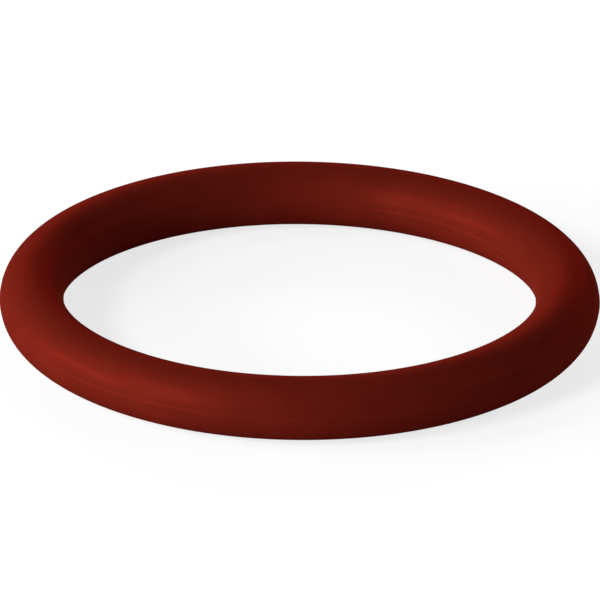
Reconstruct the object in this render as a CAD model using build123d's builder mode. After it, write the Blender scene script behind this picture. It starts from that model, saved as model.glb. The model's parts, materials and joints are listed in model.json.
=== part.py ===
"""Press fitting O-ring: an elastomer sealing ring for a 22 mm press fitting, moulded in one piece.

The ring lies flat. Its axis is Z and the centre of the ring is the origin, so half of the round
section is above the XY plane and half is below it. All sizes are in millimetres.
"""

import os
from math import sqrt

from build123d import *

# Driving dimensions
bore_diameter = 22.3  # inside diameter of the round section, a little over the 22 mm tube
section_diameter = 3.0  # thickness of the round section

# The mould closes on the plane halfway up the ring. Its parting line leaves a low trimmed
# ridge of flash round the inside and the outside of the ring.
flash_height = 0.02  # how far the crest of the ridge stands proud of the round section
flash_width = 0.22  # height along Z of the whole ridge, from foot to foot
crest_width = 0.08  # height along Z of the flat crest that trimming leaves
flash_blend = 0.08  # radius that rounds the edges of the crest and fills the foot of the ridge

# Derived sizes
section_radius = section_diameter / 2
ring_radius = bore_diameter / 2 + section_radius  # from the ring's axis to the section's centre
crest_reach = section_radius + flash_height  # from the section's centre to the crest
foot_reach = sqrt(section_radius**2 - (flash_width / 2) ** 2)  # where the ridge leaves the round

# In this plane x points away from the ring's axis and y points up
section_plane = Plane(origin=(ring_radius, 0, 0), x_dir=(1, 0, 0), z_dir=(0, -1, 0))

with BuildPart() as o_ring:
    with BuildSketch(section_plane) as section:
        Circle(section_radius)
        with BuildLine() as flash_outline:
            Polyline(
                (0, flash_width / 2),
                (foot_reach, flash_width / 2),
                (crest_reach, crest_width / 2),
                (crest_reach, 0),
            )
            mirror(about=Plane.XZ)  # the lower half of the outer ridge
            mirror(about=Plane.YZ)  # the ridge round the inside of the ring
        make_face()
        fillet(section.vertices(), flash_blend)
    revolve(axis=Axis.Z)

o_ring.part.label = "o_ring"

os.makedirs("parts", exist_ok=True)
export_step(o_ring.part, "parts/o_ring.step")

print("inside diameter", round(bore_diameter - 2 * flash_height, 3), "over the crest of the flash")
print("outside diameter", round(2 * (ring_radius + crest_reach), 3), "over the crest of the flash")
print("volume", round(o_ring.part.volume, 2))
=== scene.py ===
"""A dark red press fitting O-ring, lying flat on a pale floor under soft studio light.

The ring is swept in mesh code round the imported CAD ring's own section: a round cord of moulded
elastomer with the fine trimmed ridge of flash that its mould's parting plane leaves on the inside
and the outside. Everything is in metres, in the frame of the CAD part: the ring's axis is Z and
its centre is the origin.
"""

import json
import math

import bpy
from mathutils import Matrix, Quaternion, Vector, noise


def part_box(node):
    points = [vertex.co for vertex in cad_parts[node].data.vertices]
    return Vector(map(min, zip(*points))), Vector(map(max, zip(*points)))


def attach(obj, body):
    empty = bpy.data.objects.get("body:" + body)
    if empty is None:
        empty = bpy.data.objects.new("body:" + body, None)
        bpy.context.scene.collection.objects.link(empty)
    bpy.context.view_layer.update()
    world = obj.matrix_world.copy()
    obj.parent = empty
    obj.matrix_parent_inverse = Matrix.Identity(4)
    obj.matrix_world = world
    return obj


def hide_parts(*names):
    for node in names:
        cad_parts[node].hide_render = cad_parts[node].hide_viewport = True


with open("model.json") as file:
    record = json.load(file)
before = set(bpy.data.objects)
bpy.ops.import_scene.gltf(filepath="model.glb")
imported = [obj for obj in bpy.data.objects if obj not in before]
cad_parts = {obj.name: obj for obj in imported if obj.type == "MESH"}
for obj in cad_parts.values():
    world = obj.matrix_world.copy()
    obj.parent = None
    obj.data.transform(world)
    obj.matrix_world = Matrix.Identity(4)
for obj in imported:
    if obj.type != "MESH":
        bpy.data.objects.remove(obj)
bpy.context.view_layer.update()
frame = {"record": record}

MM = 0.001

# The ring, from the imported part
RING_NODE = "o_ring"
box_low, box_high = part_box(RING_NODE)
crest_radius = {
    mount["name"]: mount["dims"]["r_mm"] * MM for mount in frame["record"]["mounts"]
}
section_radius = (box_high[2] - box_low[2]) / 2
ring_radius = (crest_radius["groove_seat"] + crest_radius["tube_bore"]) / 2
flash_height = (crest_radius["groove_seat"] - crest_radius["tube_bore"]) / 2 - section_radius
centre = (box_low + box_high) / 2

# The trimmed flash, measured along Z
FLASH_FOOT = 0.11 * MM  # half the height of the whole ridge
FLASH_CREST = 0.03 * MM  # half the height of its flat crest
FLASH_UNEVEN = 0.2  # trimming takes off this share of its height, give or take as much again
FLASH_WAVES = 6  # how quickly that varies round the ring

# Mesh density
RING_STEPS = 540
ARC_STEPS = 48  # over one half of the section, from ridge to ridge
RIDGE_STEPS = 8  # from the middle of a ridge to its foot

# The camera: the photograph's angle, with a long lens
CAMERA_ELEVATION = math.radians(23.65)
CAMERA_ROLL = math.radians(0.42)
LENS = 1200.0
SENSOR = 36.0
FRAME_WIDTH = 28.31 * MM  # what the picture spans at the ring's centre
CAMERA_SHIFT = (0.013 * MM, -0.045 * MM)  # how far the camera stands to the right and up

# Colours, linear
ELASTOMER = (0.080, 0.0066, 0.0036)
FLOOR_WHITE = (0.88, 0.88, 0.88)

# The floor
FLOOR_REACH = 4.0  # from its middle to its edges
FLOOR_GLOW = 0.75  # the share of plain white in what is seen of the floor near the ring
GLOW_REACH = (0.03, 0.12)  # from the ring's axis to where that share starts to grow, and to all white

# The elastomer's finish. Its satin reflection is as red as the rest, so Metallic carries it.
ROUGHNESS = 0.38
SPECULAR_LEVEL = 0.0
SPECULAR_TINT = (0.5, 0.05, 0.03)  # the edge of the satin reflection
METALLIC = 0.08
STREAK_SIZES = (0.16 * MM, 0.16 * MM, 7 * MM, 7 * MM)  # across the section, and along the ring
STREAK_DEPTH = 0.0012 * MM
GRAIN_SIZE = 0.07 * MM
GRAIN_DEPTH = 0.0006 * MM
MOTTLE_SIZE = 2.2 * MM
SEAM_LIGHTER = 0.05  # how much paler the trimmed flash is
MOTTLE_TONE = 0.06  # these four say how far a noise takes the tone or the roughness, up and down
STREAK_TONE = 0.03
MOTTLE_ROUGHNESS = 0.03
STREAK_ROUGHNESS = 0.02
NOISE_RANGE = (0.3, 0.7)  # most of a noise's values lie in here

# The softboxes: name, azimuth and elevation seen from the ring, distance, width, height, watts
SOFTBOXES = [
    ("key_left", 183, 12, 0.40, 0.26, 0.08, 2.0),
    ("key_front", 224, 14, 0.40, 0.08, 0.08, 1.1),
    ("key_high", 215, 36, 0.40, 0.14, 0.08, 1.1),
    ("key_back", 173, 36, 0.40, 0.07, 0.08, 0.3),
    ("fill_right", 0, 25, 0.45, 0.25, 0.20, 0.5),
    ("rim_right", 45, 14, 0.50, 0.45, 0.16, 1.0),
    ("rim_back", 90, 14, 0.50, 0.45, 0.16, 2.7),
]
WORLD_STRENGTH = 0.005


def smooth_step(low, high, x):
    """0 at low, 1 at high, with no corner at either."""
    t = min(max((x - low) / (high - low), 0.0), 1.0)
    return t * t * (3 - 2 * t)


def section_angles():
    """Angles round the section from the outer equator, closest together over the two ridges."""
    foot = math.asin(FLASH_FOOT / section_radius)
    ridge = [foot * i / RIDGE_STEPS for i in range(RIDGE_STEPS)]
    arc = [foot + (math.pi - 2 * foot) * i / ARC_STEPS for i in range(ARC_STEPS + 1)]
    upper = ridge + arc + [math.pi - a for a in reversed(ridge[1:])]
    return upper + [math.pi + a for a in upper]


def flash_at(angle, ring_angle):
    """How far the flash stands proud of the round section there. Trimming leaves it a little uneven."""
    height = abs(section_radius * math.sin(angle))
    side = 1.0 if math.cos(angle) > 0 else -1.0
    place = FLASH_WAVES * Vector((math.cos(ring_angle), math.sin(ring_angle), side / 2))
    trimmed = 1 - FLASH_UNEVEN + FLASH_UNEVEN * noise.noise(place)
    return flash_height * trimmed * (1 - smooth_step(FLASH_CREST, FLASH_FOOT, height))


def ring_mesh(name):
    """The whole ring as one closed grid of quads, round the section and round the ring."""
    angles = section_angles()
    points = []
    for i in range(RING_STEPS):
        turn = 2 * math.pi * i / RING_STEPS
        for angle in angles:
            reach = section_radius + flash_at(angle, turn)
            out = ring_radius + reach * math.cos(angle)
            points.append((out * math.cos(turn), out * math.sin(turn), reach * math.sin(angle)))
    count = len(angles)
    faces = []
    for i in range(RING_STEPS):
        here, after = i * count, (i + 1) % RING_STEPS * count
        for j in range(count):
            k = (j + 1) % count
            faces.append((here + j, after + j, after + k, here + k))
    mesh = bpy.data.meshes.new(name)
    mesh.from_pydata(points, [], faces)
    mesh.polygons.foreach_set("use_smooth", [True] * len(faces))
    mesh.update()
    return mesh


def new_material(name):
    material = bpy.data.materials.new(name)
    material.use_nodes = True
    nodes = material.node_tree.nodes
    nodes.clear()
    shader = nodes.new("ShaderNodeBsdfPrincipled")
    output = nodes.new("ShaderNodeOutputMaterial")
    material.node_tree.links.new(shader.outputs["BSDF"], output.inputs["Surface"])
    return material, shader


class Nodes:
    """Adds nodes to a material, each call giving back the socket that holds its result."""

    def __init__(self, material):
        self.nodes = material.node_tree.nodes
        self.links = material.node_tree.links

    def feed(self, socket, value):
        """Links a socket to another, or sets it to a number."""
        if isinstance(value, bpy.types.NodeSocket):
            self.links.new(value, socket)
        else:
            socket.default_value = value

    def maths(self, operation, *values):
        node = self.nodes.new("ShaderNodeMath")
        node.operation = operation
        for socket, value in zip(node.inputs, values):
            self.feed(socket, value)
        return node.outputs["Value"]

    def place(self):
        """x, y and z on the ring, in metres."""
        coordinates = self.nodes.new("ShaderNodeTexCoord")
        split = self.nodes.new("ShaderNodeSeparateXYZ")
        self.links.new(coordinates.outputs["Object"], split.inputs["Vector"])
        return split.outputs

    def from_axis(self, x, y):
        """The distance from the ring's axis."""
        return self.maths("SQRT", self.maths("ADD", self.maths("POWER", x, 2), self.maths("POWER", y, 2)))

    def noise(self, sizes, along, detail=2.0, roughness=0.5):
        """Noise from 0 to 1 over three or four lengths, each with the size of its own features."""
        node = self.nodes.new("ShaderNodeTexNoise")
        node.noise_dimensions = "4D" if len(along) == 4 else "3D"
        join = self.nodes.new("ShaderNodeCombineXYZ")
        scaled = [self.maths("DIVIDE", length, size) for length, size in zip(along, sizes)]
        for socket, value in zip(join.inputs, scaled):
            self.feed(socket, value)
        self.feed(node.inputs["Vector"], join.outputs["Vector"])
        if len(along) == 4:
            self.feed(node.inputs["W"], scaled[3])
        node.inputs["Scale"].default_value = 1.0
        node.inputs["Detail"].default_value = detail
        node.inputs["Roughness"].default_value = roughness
        return node.outputs["Fac"]

    def spread(self, value, low, high, old_low=NOISE_RANGE[0], old_high=NOISE_RANGE[1]):
        """Maps a value from its own range to another, and stops it at both ends."""
        node = self.nodes.new("ShaderNodeMapRange")
        self.feed(node.inputs["Value"], value)
        node.inputs["From Min"].default_value = old_low
        node.inputs["From Max"].default_value = old_high
        node.inputs["To Min"].default_value = low
        node.inputs["To Max"].default_value = high
        return node.outputs["Result"]

    def vary(self, value, middle, amount):
        """Spreads a noise evenly about a middle value."""
        return self.spread(value, middle - amount, middle + amount)

    def colour(self, shade, factor):
        """A colour made lighter or darker by a factor."""
        node = self.nodes.new("ShaderNodeVectorMath")
        node.operation = "SCALE"
        node.inputs[0].default_value = shade
        self.feed(node.inputs["Scale"], factor)
        return node.outputs["Vector"]

    def bump(self, height, depth, under=None):
        """Bumps that deep in metres, over other bumps if there are any."""
        node = self.nodes.new("ShaderNodeBump")
        node.inputs["Strength"].default_value = 1.0
        node.inputs["Distance"].default_value = depth
        self.feed(node.inputs["Height"], height)
        if under is not None:
            self.feed(node.inputs["Normal"], under)
        return node.outputs["Normal"]


def elastomer_material():
    """Satin moulded elastomer: faint lines round the ring from the turned mould, grain and mottling."""
    material, shader = new_material("dark_red_elastomer")
    make = Nodes(material)
    x, y, z = make.place()
    streaks = make.noise(STREAK_SIZES, (make.from_axis(x, y), z, x, y), detail=3, roughness=0.6)
    grain = make.noise((GRAIN_SIZE,) * 3, (x, y, z), detail=2)
    mottle = make.noise((MOTTLE_SIZE,) * 3, (x, y, z), detail=3)
    near_seam = make.maths("ABSOLUTE", z)
    seam = make.spread(near_seam, 1.0, 0.0, FLASH_CREST, FLASH_FOOT)

    tone = make.maths("MULTIPLY", make.vary(mottle, 1.0, MOTTLE_TONE), make.vary(streaks, 1.0, STREAK_TONE))
    paler = make.maths("ADD", 1.0, make.maths("MULTIPLY", seam, SEAM_LIGHTER))
    tone = make.maths("MULTIPLY", tone, paler)
    make.feed(shader.inputs["Base Color"], make.colour(ELASTOMER, tone))

    uneven = make.vary(mottle, 0.0, MOTTLE_ROUGHNESS)
    rough = make.maths("ADD", uneven, make.vary(streaks, 0.0, STREAK_ROUGHNESS))
    make.feed(shader.inputs["Roughness"], make.maths("ADD", rough, ROUGHNESS))

    lines = make.bump(streaks, STREAK_DEPTH)
    make.feed(shader.inputs["Normal"], make.bump(grain, GRAIN_DEPTH, lines))

    shader.inputs["Metallic"].default_value = METALLIC
    shader.inputs["Specular IOR Level"].default_value = SPECULAR_LEVEL
    shader.inputs["Specular Tint"].default_value = (*SPECULAR_TINT, 1)
    return material


def floor_material():
    """Matt and pale. What is seen of it, straight on or mirrored, is partly plain white, and all white
    far from the ring. That lightens the ring's shadow and keeps it, with no more light on the ring."""
    material, shader = new_material("pale_floor")
    shader.inputs["Base Color"].default_value = (*FLOOR_WHITE, 1)
    shader.inputs["Roughness"].default_value = 0.9
    shader.inputs["Specular IOR Level"].default_value = 0.0
    make = Nodes(material)
    path = make.nodes.new("ShaderNodeLightPath").outputs
    seen = make.maths("MAXIMUM", path["Is Camera Ray"], path["Is Glossy Ray"])
    seen = make.maths("MAXIMUM", seen, path["Is Transmission Ray"])
    white = make.nodes.new("ShaderNodeEmission")
    white.inputs["Color"].default_value = (1, 1, 1, 1)
    white.inputs["Strength"].default_value = 1.0
    mix = make.nodes.new("ShaderNodeMixShader")
    x, y, z = make.place()
    share = make.spread(make.from_axis(x, y), FLOOR_GLOW, 1.0, *GLOW_REACH)
    make.feed(mix.inputs["Fac"], make.maths("MULTIPLY", seen, share))
    make.feed(mix.inputs[1], shader.outputs["BSDF"])
    make.feed(mix.inputs[2], white.outputs["Emission"])
    output = make.nodes["Material Output"]
    make.feed(output.inputs["Surface"], mix.outputs["Shader"])
    return material


def add_ring():
    ring = bpy.data.objects.new("moulded_ring", ring_mesh("moulded_ring"))
    bpy.context.scene.collection.objects.link(ring)
    ring.data.materials.append(elastomer_material())
    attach(ring, "root")
    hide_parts(RING_NODE)
    return ring


def add_floor():
    sides = ((-1, -1), (1, -1), (1, 1), (-1, 1))
    corners = [(x * FLOOR_REACH, y * FLOOR_REACH, box_low[2]) for x, y in sides]
    mesh = bpy.data.meshes.new("floor")
    mesh.from_pydata(corners, [], [(0, 1, 2, 3)])
    floor = bpy.data.objects.new("floor", mesh)
    bpy.context.scene.collection.objects.link(floor)
    floor.data.materials.append(floor_material())


def direction(azimuth, elevation):
    """The unit vector from the ring towards that azimuth, counted from +X, and elevation, in radians."""
    flat = math.cos(elevation)
    return Vector((flat * math.cos(azimuth), flat * math.sin(azimuth), math.sin(elevation)))


def add_softbox(name, azimuth, elevation, distance, width, height, watts):
    lamp = bpy.data.lights.new(name, "AREA")
    lamp.shape = "RECTANGLE"
    lamp.size = width
    lamp.size_y = height
    lamp.energy = watts
    softbox = bpy.data.objects.new(name, lamp)
    bpy.context.scene.collection.objects.link(softbox)
    towards = direction(math.radians(azimuth), math.radians(elevation))
    softbox.location = centre + towards * distance
    softbox.rotation_euler = towards.to_track_quat("Z", "Y").to_euler()
    softbox.visible_camera = False


def add_world():
    world = bpy.data.worlds.new("studio")
    bpy.context.scene.world = world
    world.use_nodes = True
    background = world.node_tree.nodes["Background"]
    background.inputs["Color"].default_value = (1, 1, 1, 1)
    background.inputs["Strength"].default_value = WORLD_STRENGTH


def add_camera():
    camera = bpy.data.objects.new("camera", bpy.data.cameras.new("camera"))
    bpy.context.scene.collection.objects.link(camera)
    camera.data.lens = LENS
    camera.data.sensor_width = SENSOR
    distance = FRAME_WIDTH * LENS / SENSOR
    towards = direction(math.radians(-90), CAMERA_ELEVATION)
    camera.location = centre + towards * distance
    camera.rotation_mode = "QUATERNION"
    level = towards.to_track_quat("Z", "Y")
    camera.rotation_quaternion = level @ Quaternion((0, 0, 1), CAMERA_ROLL)
    camera.location += camera.rotation_quaternion @ Vector((*CAMERA_SHIFT, 0))
    camera.data.clip_start = distance / 10
    camera.data.clip_end = distance * 10
    bpy.context.scene.camera = camera


add_camera()
add_world()
for softbox in SOFTBOXES:
    add_softbox(*softbox)
add_floor()
add_ring()
bpy.context.scene.view_settings.view_transform = "Standard"
